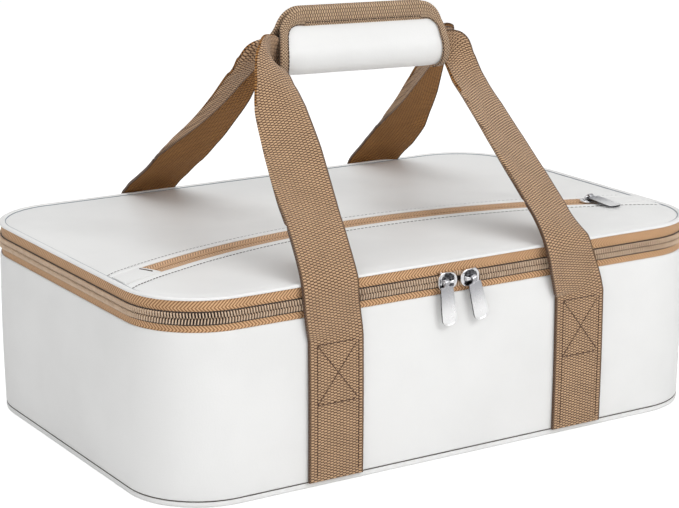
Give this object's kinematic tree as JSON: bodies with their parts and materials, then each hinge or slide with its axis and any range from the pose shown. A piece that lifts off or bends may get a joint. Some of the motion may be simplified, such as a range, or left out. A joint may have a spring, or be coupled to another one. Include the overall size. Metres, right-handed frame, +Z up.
{
  "type": "casserole carrier",
  "caption": "Insulated casserole carrier with a zipped hinged lid, a lid pocket, webbing loops and a padded wrap that joins the loops into one grip.",
  "frame": {"origin": "on the floor, under the middle of the bag's body", "axes": "+X to the right along the bag's length, -Y towards the front with the straps' stitched feet and the zip pulls, +Z up"},
  "size_m": [0.4218, 0.2891, 0.2771],
  "materials": {
    "leather": "smooth white leather-look skin with a fine grain",
    "lining": "silver-grey wipe-clean lining",
    "foam": "closed-cell foam",
    "board": "stiff board",
    "tape": "woven tan zip tape",
    "teeth": "nylon coil, dark tan",
    "webbing": "ribbed tan webbing",
    "chrome": "bright plated metal",
    "patch": "hook and loop fastening, off-white"
  },
  "bodies": {
    "bag": {"base_tray": "leather", "base_board": "board", "base_foam": "foam", "wall_cover": "leather", "wall_foam": "foam", "tub_liner": "lining", "lower_zip_tape": "tape", "lower_zip_teeth": "teeth", "back_hinge_strip": "leather", "front_left_strap_foot": "webbing", "front_right_strap_foot": "webbing", "back_left_strap_foot": "webbing", "back_right_strap_foot": "webbing"},
    "lid": {"lid_rim": "leather", "lid_rear_panel": "leather", "lid_pocket_panel": "leather", "pocket_left_tab": "leather", "pocket_right_tab": "leather", "pocket_lining": "lining", "lid_foam": "foam", "lid_liner": "lining", "upper_zip_tape": "tape", "upper_zip_teeth": "teeth", "pocket_rear_tape": "tape", "pocket_front_tape": "tape", "pocket_rear_teeth": "teeth", "pocket_front_teeth": "teeth"},
    "front_handle": {"front_left_strap": "webbing", "front_right_strap": "webbing", "front_grip_core": "webbing", "grip_wrap_front": "leather", "grip_binding_front": "tape", "front_grip_pad": "foam", "hook_patch": "patch"},
    "grip_flap": {"grip_wrap_flap": "leather", "grip_binding_flap": "tape", "flap_grip_pad": "foam", "loop_patch": "patch"},
    "back_handle": {"back_left_strap": "webbing", "back_right_strap": "webbing", "back_grip_core": "webbing"},
    "left_slider": {"left_slider": "chrome"},
    "left_pull": {"left_pull": "chrome"},
    "right_slider": {"right_slider": "chrome"},
    "right_pull": {"right_pull": "chrome"},
    "pocket_slider": {"pocket_slider": "chrome"},
    "pocket_pull": {"pocket_pull": "chrome"}
  },
  "joints": [
    {"name": "lid_hinge", "type": "hinge", "parent": "bag", "child": "lid", "pos_m": [0, 0.1384, 0.1192], "axis": [-1, 0, 0], "range_deg": [0, 110], "deforming": ["back_hinge_strip", "upper_zip_teeth", "lower_zip_teeth"]},
    {"name": "front_loop", "type": "hinge", "parent": "bag", "child": "front_handle", "pos_m": [0, -0.141, 0.095], "axis": [1, 0, 0], "range_deg": [0, 143], "deforming": ["front_left_strap", "front_right_strap"]},
    {"name": "back_loop", "type": "hinge", "parent": "bag", "child": "back_handle", "pos_m": [0, 0.141, 0.095], "axis": [-1, 0, 0], "range_deg": [0, 143], "deforming": ["back_left_strap", "back_right_strap"]},
    {"name": "grip_flap_hinge", "type": "hinge", "parent": "front_handle", "child": "grip_flap", "pos_m": [0, -0.02, 0.232], "axis": [-1, 0, 0], "range_deg": [0, 143]},
    {"name": "left_zip_slide", "type": "slide", "parent": "bag", "child": "left_slider", "axis": [-1, 0, 0], "range_m": [0, 0.137], "deforming": ["lower_zip_teeth"]},
    {"name": "right_zip_slide", "type": "slide", "parent": "bag", "child": "right_slider", "axis": [1, 0, 0], "range_m": [0, 0.144], "deforming": ["lower_zip_teeth"]},
    {"name": "left_pull_hinge", "type": "hinge", "parent": "left_slider", "child": "left_pull", "pos_m": [-0.0117, -0.1438, 0.1182], "axis": [-1, 0, 0], "range_deg": [0, 160]},
    {"name": "right_pull_hinge", "type": "hinge", "parent": "right_slider", "child": "right_pull", "pos_m": [0.0051, -0.1438, 0.1182], "axis": [-1, 0, 0], "range_deg": [0, 160]},
    {"name": "pocket_zip_run", "type": "hinge", "parent": "lid", "child": "pocket_slider", "pos_m": [0, -0.462, 0.1298], "axis": [0, 0, 1], "range_deg": [0, 45], "deforming": ["pocket_rear_teeth", "pocket_front_teeth"]},
    {"name": "pocket_pull_hinge", "type": "hinge", "parent": "pocket_slider", "child": "pocket_pull", "pos_m": [0.16913, -0.0558, 0.1335], "axis": [-0.9232, 0.3844, 0], "range_deg": [0, 165]}
  ],
  "couplings": [
    {"joint": "front_loop", "follows": "lid_hinge", "ratio": 1.3},
    {"joint": "back_loop", "follows": "lid_hinge", "ratio": 1.3},
    {"joint": "grip_flap_hinge", "follows": "lid_hinge", "ratio": 1.3}
  ]
}
